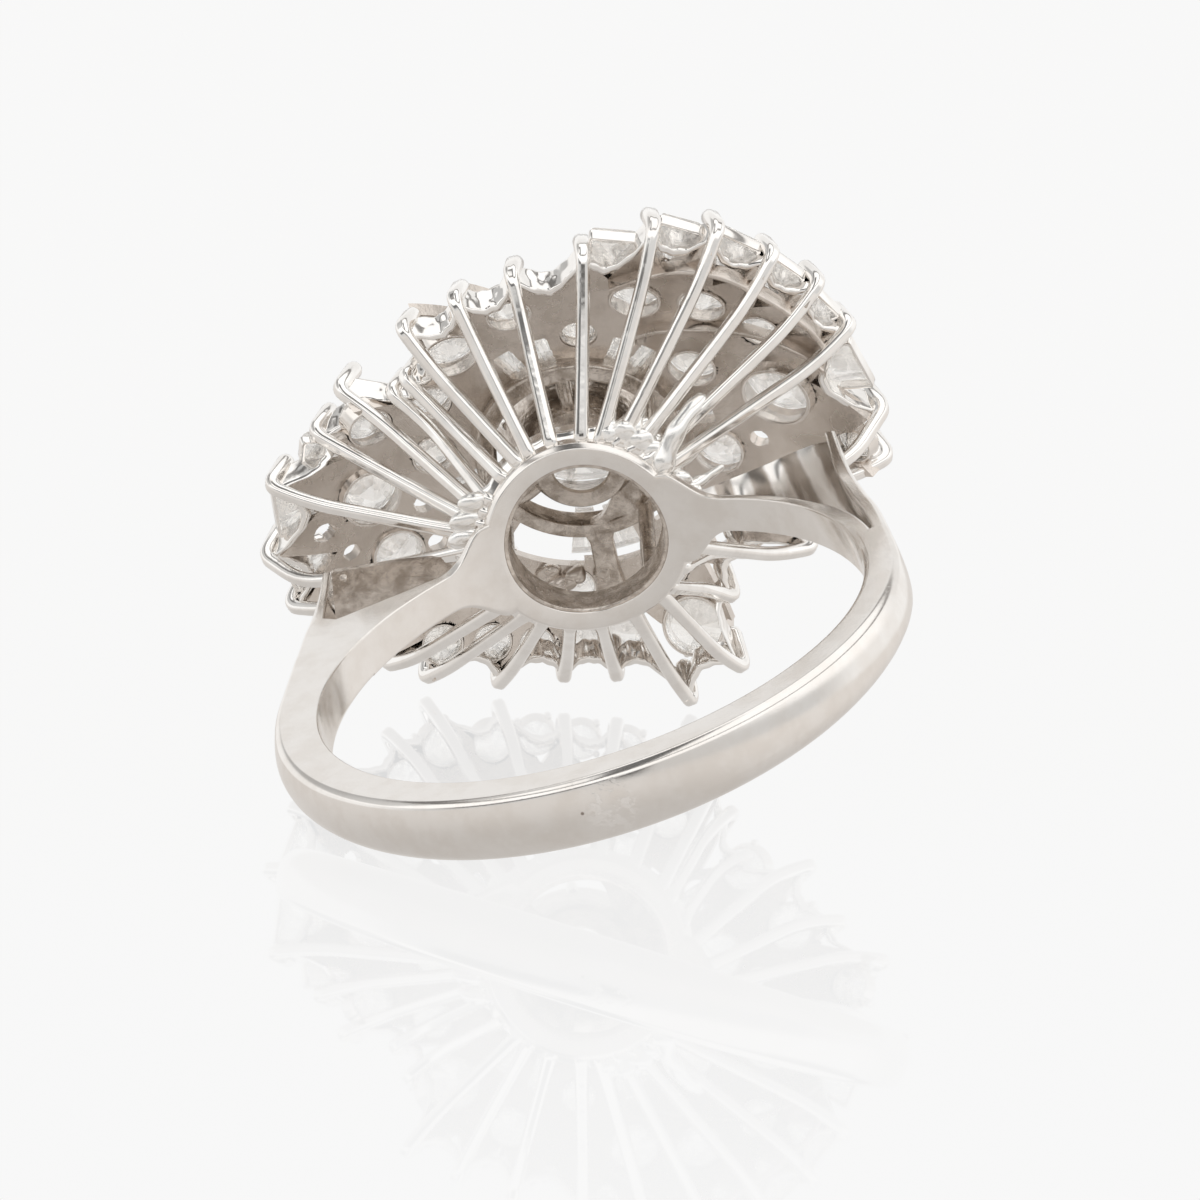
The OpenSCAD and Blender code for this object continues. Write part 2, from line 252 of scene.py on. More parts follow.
def evened(values, width):
    """Values with their bends evened out: each is the average of its neighbours under a raised cosine."""
    weight = np.hanning(width)
    return np.convolve(np.pad(values, width//2, "edge"), weight/weight.sum(), "valid")


def raised(flat, height):
    """Points of a plane given a height over it."""
    return np.concatenate([flat, np.broadcast_to(height, flat.shape[:-1])[..., None]], -1)


def full_turn(count):
    """Degrees round a full turn, as a column."""
    return np.linspace(0, 360, count, endpoint=False)[:, None]


def flow(points, count):
    """Curve through points: every stretch is the cubic whose end slopes are half the chords between
    the neighbours of its ends."""
    p = np.asarray(points, float)
    p = np.concatenate([2*p[:1] - p[1:2], p, 2*p[-1:] - p[-2:-1]])
    s = np.linspace(0, len(points) - 1, count)
    k = np.minimum(s.astype(int), len(points) - 2)
    t = (s - k)[:, None]
    a, b, c, d = p[k], p[k + 1], p[k + 2], p[k + 3]
    return 0.5*(2*b + (c - a)*t + (2*a - 5*b + 4*c - d)*t**2 + (3*b - a - 3*c + d)*t**3)


def mesh_faces(rows, columns, loop_rows, loop_columns):
    """Four-cornered faces between the neighbours of a grid, with its last line joined to its first
    where it loops."""
    i, j = np.meshgrid(np.arange(rows if loop_rows else rows - 1),
                       np.arange(columns if loop_columns else columns - 1), indexing="ij")
    below, right = (i + 1) % rows, (j + 1) % columns
    return np.stack([i*columns + j, i*columns + right, below*columns + right, below*columns + j],
                    -1).reshape(-1, 4)


def outward(points, faces):
    """Turns the faces round if the volume under them, the sum of a.(b x c), is negative. The fourth
    number of a triangle is -1."""
    a, b, c, d = (points[faces[:, k]] for k in range(4))
    four = faces[:, 3] >= 0
    volume = np.sum(a*np.cross(b, c)) + np.sum(a[four]*np.cross(c[four], d[four]))
    if volume < 0:
        faces = np.where(four[:, None], faces[:, ::-1], faces[:, [2, 1, 0, 3]])
    return points, faces


def tube(loops, closed=False):
    """Skin over loops of points, (stations, around, 3): each loop is joined to the next, and the two
    end loops to their middle points unless the last meets the first."""
    n, m, _ = loops.shape
    points = loops.reshape(-1, 3)
    faces = mesh_faces(n, m, closed, True)
    if not closed:
        ends = np.stack([loops[0].mean(0), loops[-1].mean(0)])
        points = np.concatenate([points, ends])
        j = np.arange(m)
        after = (j + 1) % m
        none = np.full(m, -1)
        first = np.stack([after, j, np.full(m, n*m), none], -1)
        last = np.stack([(n - 1)*m + j, (n - 1)*m + after, np.full(m, n*m + 1), none], -1)
        faces = np.concatenate([faces, first, last])
    return outward(points, faces)


def softened(outline, cut, steps=4):
    """Closed outline with each corner rounded: the parabola that leaves and meets its two sides a cut
    away from the corner, at most 0.45 of a side."""
    p = np.asarray(outline, float)
    before, after = np.roll(p, 1, 0) - p, np.roll(p, -1, 0) - p
    size_before = np.linalg.norm(before, axis=1, keepdims=True)
    size_after = np.linalg.norm(after, axis=1, keepdims=True)
    start = (p + before/size_before*np.minimum(cut, 0.45*size_before))[:, None]
    end = (p + after/size_after*np.minimum(cut, 0.45*size_after))[:, None]
    t = np.linspace(0, 1, steps + 1)[None, :, None]
    return ((1 - t)**2*start + 2*t*(1 - t)*p[:, None] + t*t*end).reshape(-1, p.shape[1])


def lathe(outline, cut=0.08, sides=72):
    """Closed outline of (reach, height) with rounded corners, carried round the axis."""
    p = softened(outline, cut)[None]
    return tube(polar(p[..., 0], full_turn(sides), p[..., 1]), closed=True)


def rounded_path(points, cuts, steps=5):
    """Path along straight stretches with rounded corners: at each inner corner the parabola between
    the points a cut away on both sides. Works on many paths at once, (paths, corners, 3)."""
    t = np.linspace(0, 1, steps)[None, :, None]
    rows = [points[:, :1]]
    for k, cut in enumerate(cuts, 1):
        corner = points[:, k:k + 1]
        start = corner + cut*unit(points[:, k - 1:k] - corner)
        end = corner + cut*unit(points[:, k + 1:k + 2] - corner)
        rows.append((1 - t)**2*start + 2*t*(1 - t)*corner + t*t*end)
    rows.append(points[:, -1:])
    return np.concatenate(rows, 1)


def wire(path, side, wide, deep, around=14, groove=0.0):
    """Oval wire along a path with rounded ends: at each station the ellipse of half widths wide along
    side and deep square to side and path, and at both ends three more whose sizes fall as a cosine. A
    groove along its back is a bell curve that is taken off the ellipse's reach."""
    lean = unit(np.gradient(path, axis=0))
    turn_in = np.radians([35, 60, 80])
    head = path[0] - lean[0]*wide[0]*np.sin(turn_in[::-1])[:, None]
    tail = path[-1] + lean[-1]*wide[-1]*np.sin(turn_in)[:, None]
    fall = np.cos(turn_in)
    caps = len(fall)
    scale = np.concatenate([fall[::-1], np.ones(len(path)), fall])
    path = np.concatenate([head, path, tail])
    lean = np.pad(lean, ((caps, caps), (0, 0)), "edge")
    wide, deep = ((np.pad(size, caps, "edge")*scale)[:, None, None] for size in (wide, deep))
    side = unit(side - np.sum(lean*side, -1, keepdims=True)*lean)
    depth = np.cross(lean, side)
    a = np.linspace(0, 2*np.pi, around, endpoint=False)[None, :, None]
    back, groove_width = 1.5*np.pi, 0.42
    left = 1 - groove*bell(a - back, groove_width)
    return tube(path[:, None] + left*(side[:, None]*wide*np.cos(a) + depth[:, None]*deep*np.sin(a)))


def round_wire(points, thick, count=12):
    """Round wire on a smooth curve through points."""
    path = flow(points, count)
    lean = path[-1] - path[0]
    side = np.cross(lean, [0.3, 0.2, 1.0])
    half = np.full(count, thick/2)
    return wire(path, side[None], half, half, around=12)


# Materials

class Value:
    """A number socket that takes part in sums: an expression on it adds the Math nodes it needs."""

    def __init__(self, paint, socket):
        self.paint = paint
        self.socket = socket

    def sum_with(self, operation, first, second):
        node = self.paint.add("ShaderNodeMath", {"operation": operation}, {0: first, 1: second})
        return Value(self.paint, node.outputs[0])

    def __add__(self, other):
        return self.sum_with("ADD", self, other)

    def __sub__(self, other):
        return self.sum_with("SUBTRACT", self, other)

    def __rsub__(self, other):
        return self.sum_with("SUBTRACT", other, self)

    def __mul__(self, other):
        return self.sum_with("MULTIPLY", self, other)

    __radd__ = __add__
    __rmul__ = __mul__

    def size(self):
        return self.sum_with("ABSOLUTE", self, 0.0)

    def most(self, other):
        return self.sum_with("MAXIMUM", self, other)

    def eased(self, low, high, start=0.0, end=1.0):
        """Eased step from start at low to end at high."""
        node = self.paint.add("ShaderNodeMapRange", {"interpolation_type": "SMOOTHSTEP"},
                              {"Value": self, "From Min": low, "From Max": high,
                               "To Min": start, "To Max": end})
        return Value(self.paint, node.outputs[0])

    def between(self, low, full, fade, high):
        """Eased up from low to full and down again from fade to high."""
        return self.eased(low, full)*self.eased(high, fade)


class Paint:
    """A node tree, and one way to add a node: its type, its settings, then its sockets."""

    def __init__(self, owner):
        owner.use_nodes = True
        self.tree = owner.node_tree
        self.tree.nodes.clear()

    def add(self, kind, settings=None, sockets=None):
        node = self.tree.nodes.new(kind)
        for key, value in (settings or {}).items():
            setattr(node, key, value)
        for key, value in (sockets or {}).items():
            if isinstance(value, Value):
                value = value.socket
            if isinstance(value, bpy.types.NodeSocket):
                self.tree.links.new(value, node.inputs[key])
            else:
                node.inputs[key].default_value = value
        return node

    def place(self, stretch=(1, 1, 1), degrees=(0, 0, 0)):
        """The surface's own place in millimetres, stretched along its axes and turned."""
        at = self.add("ShaderNodeTexCoord").outputs["Object"]
        scale = tuple(1000*s for s in stretch)
        return self.add("ShaderNodeMapping", {}, {
            "Vector": at, "Rotation": tuple(np.radians(degrees)), "Scale": scale}).outputs[0]

    def noise(self, at, scale, detail=3.0, rough=0.5, bend=0.0):
        node = self.add("ShaderNodeTexNoise", {}, {
            "Vector": at, "Scale": scale, "Detail": detail, "Roughness": rough,
            "Distortion": bend})
        return Value(self, node.outputs[0])

    def away(self, at, centre):
        """How far a place is from a centre, in millimetres."""
        return Value(self, self.add("ShaderNodeVectorMath", {"operation": "DISTANCE"},
                                    {0: at, 1: tuple(centre)}).outputs["Value"])

    def wave(self, at, direction):
        """Sine from 0 to 1 of the place along a direction, in radians for each millimetre."""
        along = self.add("ShaderNodeVectorMath", {"operation": "DOT_PRODUCT"},
                         {0: at, 1: tuple(direction)}).outputs["Value"]
        turned = self.add("ShaderNodeMath", {"operation": "SINE"}, {0: along}).outputs[0]
        return Value(self, turned)*0.5 + 0.5

    def parts(self, vector):
        """The three numbers of a vector."""
        return [Value(self, s) for s in self.add("ShaderNodeSeparateXYZ", {}, {0: vector}).outputs]


def mix_colours(paint, share, first, second):
    """Colour between first and second by share. A Mix node's colour sockets carry the same names as its
    number ones, so they are looked up by type."""
    node = paint.add("ShaderNodeMix", {"data_type": "RGBA"}, {0: share})
    a, b = (s for s in node.inputs if s.type == "RGBA")
    for socket, colour in ((a, first), (b, second)):
        if isinstance(colour, tuple):
            socket.default_value = (*colour, 1)
        else:
            paint.tree.links.new(colour, socket)
    return next(s for s in node.outputs if s.type == "RGBA")


def white_gold(name, light, dark, rough, ripple, scratch=0.0, grain=0.0, cloud_size=0.9, painted_flute_shade=None,
               worn=None):
    """Rhodium-bright white gold: a colour that drifts between light and dark in soft clouds, or in
    painted shade that darkens it in bands square to a direction, the shading of flutes, fine scratches
    both ways, soft casting ripples, and a grain for the unpolished backs. Ripple, scratch and grain
    are depths in millimetres. Round the first worn place the polish breaks up in pale, dull flakes, and
    the second is a pit, whose dark dot is painted shade."""
    material = bpy.data.materials.new(name)
    paint = Paint(material)
    at = paint.place()
    cloud = paint.noise(at, cloud_size, detail=4.0, rough=0.6)
    speck = paint.noise(at, 9.0, detail=2.0)
    line_a = paint.noise(paint.place((0.5, 14, 9), (12, 0, 20)), 1.0, detail=2.0)
    line_b = paint.noise(paint.place((11, 0.6, 12), (0, 30, 65)), 1.0, detail=2.0)
    lines = line_a.eased(0.62, 0.74) + line_b.eased(0.64, 0.76)
    soft = paint.noise(at, 1.6, detail=1.5, bend=0.4)
    shade = cloud.eased(0.35, 0.7)
    # Bands of darker colour along a direction: painted shade of the flutes that the web's mesh has.
    if painted_flute_shade is not None:
        shade = (paint.wave(at, painted_flute_shade) + (cloud - 0.5)*0.7).eased(0.3, 0.7)
    colour = mix_colours(paint, shade, light, dark)
    height = soft*ripple + lines*scratch + speck*grain
    dull = cloud*0.06 + lines*min(0.05, 80*scratch) + rough
    if worn is not None:
        flakes = paint.noise(at, 2.6, detail=5.0, rough=0.65).eased(0.50, 0.58)
        flakes = flakes*paint.away(at, worn[0]).eased(*WORN_REACH)
        colour = mix_colours(paint, flakes*0.55, colour, FLAKE_PALE)
        # Dark dot over the pit: painted shade of a hollow that the mesh doesn't have.
        pit = paint.away(at, worn[1]).eased(*PIT_REACH)
        colour = mix_colours(paint, pit, colour, PIT_SHADE)
        height = height - flakes*0.005
        dull = dull + flakes*0.10
    shader = paint.add("ShaderNodeBsdfPrincipled", {}, {
        "Base Color": colour,
        "Metallic": 1.0,
        "Roughness": dull,
        "Normal": paint.add("ShaderNodeBump", {}, {"Height": height, "Distance": METRES}).outputs[0]})
    paint.add("ShaderNodeOutputMaterial", {}, {"Surface": shader.outputs[0]})
    return material


def diamond(name, clear, tinted):
    """Clear stone: bent light with a share that passes straight, and a faint tint that drifts from
    stone to stone. The straight share keeps the pavilions as pale as the many facets of a real one."""
    material = bpy.data.materials.new(name)
    paint = Paint(material)
    drift = paint.noise(paint.place(), 0.35, detail=1.0)
    colour = mix_colours(paint, drift.eased(0.45, 0.65), clear, tinted)
    cut = paint.add("ShaderNodeBsdfPrincipled", {}, {
        "Base Color": colour,
        "Roughness": 0.0,
        "IOR": 2.1,
        "Transmission Weight": 1.0})
    straight = paint.add("ShaderNodeBsdfTransparent", {}, {"Color": (0.985, 0.975, 0.96, 1)})
    straight_share = 0.42
    body = paint.add("ShaderNodeMixShader", {}, {0: straight_share, 1: cut.outputs[0],
                                                 2: straight.outputs[0]})
    paint.add("ShaderNodeOutputMaterial", {}, {"Surface": body.outputs[0]})
    return material


BAND_FINISH = white_gold("band_gold", light=(0.87, 0.84, 0.81), dark=(0.82, 0.78, 0.74), rough=0.12,
                         ripple=0.002, scratch=0.0005, grain=0.0006,
                         worn=from_ring(np.stack([WORN_PLACE, WORN_PIT])))
# Web: its colour darkens in bands along its flutes, painted shade of the flutes.
WEB_FLUTE_SHADE = white_gold("web_gold_flute_shade", light=(0.88, 0.85, 0.82), dark=(0.44, 0.39, 0.345), rough=0.22,
                        ripple=0.002, scratch=0.0002, painted_flute_shade=from_ring(FLUTES))
POLISHED = white_gold("polished_gold", light=(0.87, 0.83, 0.79), dark=(0.80, 0.76, 0.72), rough=0.07,
                      ripple=0.006, scratch=0.0006)
WIRE_FINISH = white_gold("wire_gold", light=(0.95, 0.93, 0.905), dark=(0.88, 0.85, 0.82), rough=0.08,
                         ripple=0.010, scratch=0.0001, grain=0.0006)
SOLDER_FINISH = white_gold("solder", light=(0.98, 0.97, 0.955), dark=(0.94, 0.92, 0.89), rough=0.22,
                           ripple=0.012, grain=0.002)
CAST = white_gold("cast_gold", light=(0.76, 0.70, 0.645), dark=(0.60, 0.54, 0.485), rough=0.24,
                  ripple=0.02, grain=0.008, cloud_size=0.6)
# Turned gold, darker overall than the polished parts: painted shade for the wall of the base ring's hole,
# the cup, rail and posts seen through it, and the side plate behind the shoulder. Its clouds, grain,
# roughness and cutter rings are the turned finish.
TURNED_SHADED = white_gold("turned_gold_shaded", light=(0.72, 0.66, 0.60), dark=(0.42, 0.365, 0.315), rough=0.20,
                    ripple=0.03, scratch=0.002, grain=0.012, cloud_size=2.2)
DIAMOND = diamond("clear_diamond", (0.99, 0.99, 0.985), (0.985, 0.965, 0.93))


def joined(name, shells, finish, polished_corner=None):
    """Joins shells of points and faces into one object in metres, smooth where its faces meet under
    polished_corner degrees and flat without it."""
    starts = np.cumsum([0] + [len(points) for points, _ in shells[:-1]])
    points = np.concatenate([p for p, _ in shells])*METRES
    faces = np.concatenate([np.where(f < 0, -1, f + start) for (_, f), start in zip(shells, starts)])
    used = faces >= 0
    corners = used.sum(1)
    mesh = bpy.data.meshes.new(name)
    mesh.vertices.add(len(points))
    mesh.vertices.foreach_set("co", points.astype(np.float32).ravel())
    mesh.loops.add(int(used.sum()))
    mesh.loops.foreach_set("vertex_index", faces[used].astype(np.int32))
    mesh.polygons.add(len(faces))
    mesh.polygons.foreach_set("loop_start", (np.cumsum(corners) - corners).astype(np.int32))
    mesh.update(calc_edges=True)
    mesh.validate()
    if polished_corner:
        mesh.shade_smooth()
        mesh.set_sharp_from_angle(angle=np.radians(polished_corner))
    else:
        mesh.shade_flat()
    mesh.materials.append(finish)
    made = bpy.data.objects.new(name, mesh)
    bpy.context.scene.collection.objects.link(made)
    return made


def piece(name, shells, finish, nodes, polished_corner=None):
    """Piece of the ring, which rides on it and stands for the CAD nodes."""
    made = joined(name, shells, finish, polished_corner)
    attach(made, "root")
    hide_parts(*nodes)


def shank_piece(name, shells, finish, polished_corner=40):
    piece(name, shells, finish, ["shank"], polished_corner)


def moved(shell, put):
    """Shell whose points are put elsewhere."""
    points, faces = shell
    return put(points), faces


def in_head(shells):
    """Shells of the head frame put in the table's frame."""
    return [moved(shell, from_head) for shell in shells]


def head_piece(name, shells, finish, polished_corner=60):
    piece(name, in_head(shells), finish, ["setting"], polished_corner)


# Band and shoulders

def half_width(n):
    """Half the band's width along the finger: it falls evenly from the palm to the base ring."""
    return PALM_HALF - (PALM_HALF - BRIDGE_HALF)*(n + HOLE_R)/(2*HOLE_R)


def bar_in_plane(inner, outer, edges, crown=0.0, flare=0.0, drawn_in=0.0):
    """Bar between an inner and an outer curve across the finger hole's plane. Its section is as wide
    as the curves are apart and as high as the band, more by flare and less by drawn_in. It has an
    elliptical quarter of (across, along) size at each corner, with a short straight lead before and
    after it, and an outer face that swells by crown times 1 - (z/half height)^2."""
    n = len(inner)
    lead = 0.03
    quarter = np.linspace(0, np.pi/2, 9)[None]
    across = outer - inner
    width = np.linalg.norm(across, axis=1)[:, None]
    half = half_width((inner[:, 1] + outer[:, 1])/2)[:, None]
    xs, zs = [], []
    for k, (side, level) in enumerate([(0, 1), (1, 1), (1, -1), (0, -1)]):
        wide = np.minimum(np.broadcast_to(edges[k][0], n)[:, None], width/2 - 1.5*lead)
        high = np.minimum(np.broadcast_to(edges[k][1], n)[:, None], half - 1.5*lead)
        a = np.pi*(1 - k/2) - quarter
        x = (width - wide if side else wide) + wide*np.cos(a)
        z = level*(half - high) + high*np.sin(a)
        first, last = a[:, :1], a[:, -1:]
        x = np.concatenate([x[:, :1] - lead*np.sin(first), x, x[:, -1:] + lead*np.sin(last)], 1)
        z = np.concatenate([z[:, :1] + lead*np.cos(first), z, z[:, -1:] - lead*np.cos(last)], 1)
        if k == 2:
            down = np.linspace(0, 1, 12)[1:-1][None]
            zs.append(zs[-1][:, -1:]*(1 - down) + z[:, :1]*down)
            xs.append(np.broadcast_to(width, zs[-1].shape))
        xs.append(x)
        zs.append(z)
    x = np.concatenate(xs, 1)
    z = np.concatenate(zs, 1)/half
    x = x + np.broadcast_to(crown, n)[:, None]*(1 - z**2)*x/width
    flat = inner[:, None] + (across/width)[:, None]*x[..., None]
    high = half_width(flat[..., 1]) + np.broadcast_to(flare, n)[:, None] - drawn_in
    return tube(from_ring(raised(flat, z*high)))


def on_plane(reach, degrees):
    """Points in the finger hole's plane, at a reach from its middle and an angle round it."""
    return polar(reach, degrees, 0)[..., :2]


def band():
    """Band round the finger from fork to fork: the hole's circle inside, and outside a reach that
    swells from 9.6 at the right fork to 9.8 round the palm and 11.4 at the left fork. The outer face
    is rounded across, most round the palm, and the bore's near edge is rolled over on the right."""
    angle = np.linspace(12, -220.5, 240)
    reach = evened(np.interp(angle, *BAND_REACH.T), 13)
    palm = smooth(angle, -205, -170)*smooth(angle, 12, -20)
    right = bell(angle + 15, 38)
    bore = (0.05 + 0.26*right, 0.05 + 0.7*right)
    upper = (0.15 + 0.05*palm, 0.2)
    lower = (0.2 + 0.3*palm, 0.3 + 0.4*palm)
    return bar_in_plane(on_plane(HOLE_R, angle), on_plane(reach, angle),
                        [bore, upper, lower, (0.15, 0.15)], crown=0.02 + 0.24*palm)


def inner_arm(start, end, reaches, top_edge):
    """Arm of a split shoulder that follows the finger hole to the base ring, and widens into it."""
    angle = np.linspace(start, end, 60)
    reach = evened(np.interp(angle, *np.transpose(reaches)), 7)
    near = smooth(np.abs(90 - angle), 33, 19.5)
    return bar_in_plane(on_plane(HOLE_R + 0.003 - 0.009*near, angle), on_plane(reach, angle),
                        [(0.05, 0.05), top_edge, top_edge, (0.1, 0.1)], flare=1.0*near**2,
                        drawn_in=0.002)


def outer_arm(inner, outer, edge):
    """Arm of a split shoulder that stands up to the head."""
    return bar_in_plane(flow(inner, 50), flow(outer, 50),
                        [(0.1, 0.1), (edge, edge), (edge, edge), (0.1, 0.1)], drawn_in=0.004)


def web():
    """Polished web set back in the right window: a surface between the inner arm's edge and the outer
    arm, which rises towards the outer one, hollowed by a half sine across and fluted by two sines of
    the place along it, with a flat back."""
    low = flow([(3.0, 8.3), (4.7, 7.5), (6.54, 6.1), (7.44, 5.1), (8.2, 4.0), (8.75, 2.6)], 240)
    high = flow([(3.2, 8.5), (5.5, 9.0), (7.9, 9.5), (8.15, 7.6), (8.6, 5.1), (9.05, 2.6)], 240)
    v = np.linspace(0, 1, 40)[None]
    flat = low[:, None]*(1 - v[..., None]) + high[:, None]*v[..., None]
    along = flat @ FLUTES[:2]
    flutes = 0.045*np.sin(along) + 0.012*np.sin(1.7*along + 1.0)
    rise = 0.45*v*smooth(np.linspace(0, 1, len(low)), 0.8, 0.3)[:, None]
    hollow = 0.25*np.sin(np.pi*np.clip(v*0.92 + 0.08, 0, 1))
    front = raised(flat, rise - 0.05 - hollow + flutes*np.sin(np.pi*v)**0.5)
    back = raised(flat, -0.75)[:, ::-1]
    return tube(from_ring(np.concatenate([front, back], 1)))


def on_bore(reach, degrees, height, share=0.0):
    """Points round the head direction at a height over the finger hole's cylinder, or at a share of
    the way from there to the base ring's front face."""
    near = over_bore(reach*np.cos(np.radians(degrees)))
    return round_head(reach, degrees, near + height + (BASE_N - near)*share)


def base_ring():
    """Base ring turned about the head direction: its near face lies on the finger hole's cylinder and
    is chamfered at its edge, and its wall stands nearly straight. Its outline is reach and share of
    the way to the front."""
    inside = BASE_HOLE_R + 0.1
    outline = softened([(inside, 0.0), (3.06, 0.0), (3.19, 0.14), (3.2, 0.3), (BASE_TOP_R, 1.0),
                        (inside, 1.0)], 0.05, 5)[None]
    return tube(from_ring(on_bore(outline[..., 0], full_turn(144), 0.0, outline[..., 1])), closed=True)


def base_bore():
    """Turned wall of the base ring's hole: a sleeve a little short of the near face, with fine rings
    left by the cutter, a sine of its depth."""
    angle = full_turn(144)
    depth = np.linspace(0.03, 1.0, 60)
    cut = BASE_HOLE_R + 0.012*np.sin(75*depth)
    outline = np.concatenate([np.stack([cut, depth], 1), [(2.6, 1.0), (2.6, 0.03)]])[None]
    reach = outline[..., 0] + 0.01*np.sin(np.radians(3*angle) + 9*outline[..., 1])
    return tube(from_ring(on_bore(reach, angle, 0.0, outline[..., 1])), closed=True)


# Outer face of the band: angle round the finger hole from the right, and reach
BAND_REACH = np.array([
    (-220.5, 11.42), (-215, 10.9), (-210, 10.5), (-202, 10.1), (-195, 9.9), (-180, 9.8),
    (-135, 9.76), (-45, 9.76), (-25, 9.74), (-10, 9.7), (0, 9.66), (12, 9.62)])

# Outer arms: inner and outer side across the hand
LEFT_SIDES = [
    [(-8.95, 1.6), (-8.75, 3.2), (-8.5, 5.0), (-8.3, 6.6), (-8.23, 7.7), (-8.1, 9.2), (-8.0, 10.5)],
    [(-9.7, 1.6), (-9.46, 3.2), (-9.1, 5.1), (-8.84, 6.6), (-8.64, 7.7), (-8.46, 9.0), (-8.33, 10.5)]]
RIGHT_SIDES = [
    [(8.9, -0.6), (8.95, 1.0), (8.95, 2.2), (8.72, 3.6), (8.38, 5.0), (8.06, 6.9), (7.84, 9.9)],
    [(9.64, -0.6), (9.58, 1.0), (9.44, 2.2), (9.22, 3.6), (8.88, 5.0), (8.52, 6.9), (8.2, 9.9)]]

# Inner arms: angle round the finger hole and reach of the outer side
LEFT_ARM = [(107, 8.84), (113, 8.86), (121, 9.0), (128.4, 9.41), (133, 9.8), (137.8, 10.29), (140, 10.6),
            (141, 10.5), (146, 9.6)]
RIGHT_ARM = [(4, 9.1), (12.4, 9.22), (24.4, 9.16), (33, 9.0), (41.5, 8.92), (56.6, 8.85), (69.1, 8.88),
             (70, 8.88)]

ARMS = [outer_arm(*LEFT_SIDES, 0.14), outer_arm(*RIGHT_SIDES, 0.16),
        inner_arm(146, 108, LEFT_ARM, (0.14, 0.2)), inner_arm(4, 72, RIGHT_ARM, (0.16, 0.3))]
shank_piece("shank_band", [band()] + ARMS, BAND_FINISH)
shank_piece("shank_web", [web()], WEB_FLUTE_SHADE)
shank_piece("shank_base_ring", [base_ring()], BAND_FINISH)
# The wall of the base ring's hole takes the darker turned gold: painted shade inside the hole.
shank_piece("shank_base_bore", [base_bore()], TURNED_SHADED, polished_corner=60)


# Wires and claws

def filled(degrees):
    """How much solder runs between the wires at an angle round the base ring: two bell curves."""
    return bell(degrees - 183, 30) + 0.8*bell(degrees - 314, 17)


def claw_wires():
    """Thirty oval wires with a groove along the back: straight from the root on the base ring to the
    heel, then hooked over into a claw. The wire is widest at its root, where it falls off
    exponentially until it is free of its neighbours, soonest away from the two soldered stretches,
    bell curves of the root's angle, and thickens again at the claw."""
    foot = to_head(on_bore(ROOT_REACH - 0.35, ROOT, ROOT_RISE + 0.02))
    root = to_head(on_bore(ROOT_REACH, ROOT, ROOT_RISE))
    knee = polar(REACH - KNEE_IN, ANGLE, HEEL - DROP)
    heel = polar(REACH - WIRE_R, ANGLE, HEEL + WIRE_R/2)
    tip = polar(REACH - WIRE_R - TIP_IN, ANGLE, HEEL + CLAW_H - 0.05)
    neck = root + (knee - root)*0.08
    third = root + (knee - root)*0.3
    cuts = [0.12, 0.1, 0.2, 1.1, 0.4]
    paths = rounded_path(np.stack([foot, root, neck, third, knee, heel, tip], 1), cuts, 7)
    side = polar(1.0, ANGLE + 90, 0)
    shells = []
    for path, across, fill in zip(paths, side, filled(ROOT)):
        along = np.append(0, np.cumsum(np.linalg.norm(np.diff(path, axis=0), axis=1)))
        rest = along[-1] - along
        flare = np.exp(-along/(0.5 + 0.5*fill))*(0.4 + 0.7*fill)
        claw = smooth(rest, 1.7, 0.5)
        wide = 0.215 + 0.15*flare + 0.075*claw
        deep = 0.24 + 0.02*flare + 0.05*claw
        shells.append(wire(path, across[None], wide, deep, 24, 0.16))
    return shells


def rim_strip():
    """Scalloped strip from claw to claw: between two heels it runs straight, less an inward dip of a
    parabola 4t(1 - t), and its section is a tall rounded bar. File marks run up it, a ripple of two
    sines along the strip."""
    steps = 26
    inset = 0.965
    t = np.arange(steps)/steps
    a = polar(REACH - WIRE_R, ANGLE, HEEL + WIRE_R/2)*inset
    b = np.roll(a, -1, 0)
    straight = a[:, None]*(1 - t[None, :, None]) + b[:, None]*t[None, :, None]
    gap = np.linalg.norm(b - a, axis=1)
    dip = (0.34*gap)[:, None]*4*t*(1 - t)
    inward = -unit(straight*[1, 1, 0])
    path = (straight + inward*dip[..., None]).reshape(-1, 3)
    out = unit(path*[1, 1, 0])
    station = np.arange(len(path))[:, None, None]
    box = softened([(-0.13, -0.12), (0.15, -0.12), (0.13, 0.45), (0.17, 0.9), (-0.13, 0.9)], 0.1, 3)
    up = box[None, :, 1:]
    ripple = 0.022*np.sin(1.1*station + 4*up) + 0.02*np.sin(0.57*station + 1.0 - 6*up)
    loops = path[:, None] + out[:, None]*(box[None, :, :1] + ripple) + box[None, :, 1:]*[0, 0, 1.0]
    return tube(loops, closed=True)


def strap(points, thick, thin):
    """Fillet of solder, an oval wire on a smooth curve that thins from one end to the other and swells
    by a sine of its length."""
    count = 28
    swell = 1 + 0.08*np.sin(0.6*np.arange(count))
    half = (thick - (thick - thin)*np.linspace(0, 1, count))*swell
    return wire(flow(to_head(points), count), np.array([[0.7, 0.2, 0.1]]), half, 0.75*half, 20)


def blob(centre, size, seed, uneven=1.0):
    """Lump of metal: a sphere whose radius swells by three sines, as much as it is uneven."""
    pole = 0.12
    u, v = np.meshgrid(np.linspace(0, 2*np.pi, 32, endpoint=False), np.linspace(pole, np.pi - pole, 20))
    r = 0.12*np.sin(2*u + seed)*np.sin(2*v) + 0.06*np.sin(3*v + 2*seed) + 0.04*np.cos(4*u - seed)
    points = np.stack([np.cos(u)*np.sin(v), np.sin(u)*np.sin(v), np.cos(v)], -1)
    return tube(points*(1 + uneven*r[..., None])*size + centre)


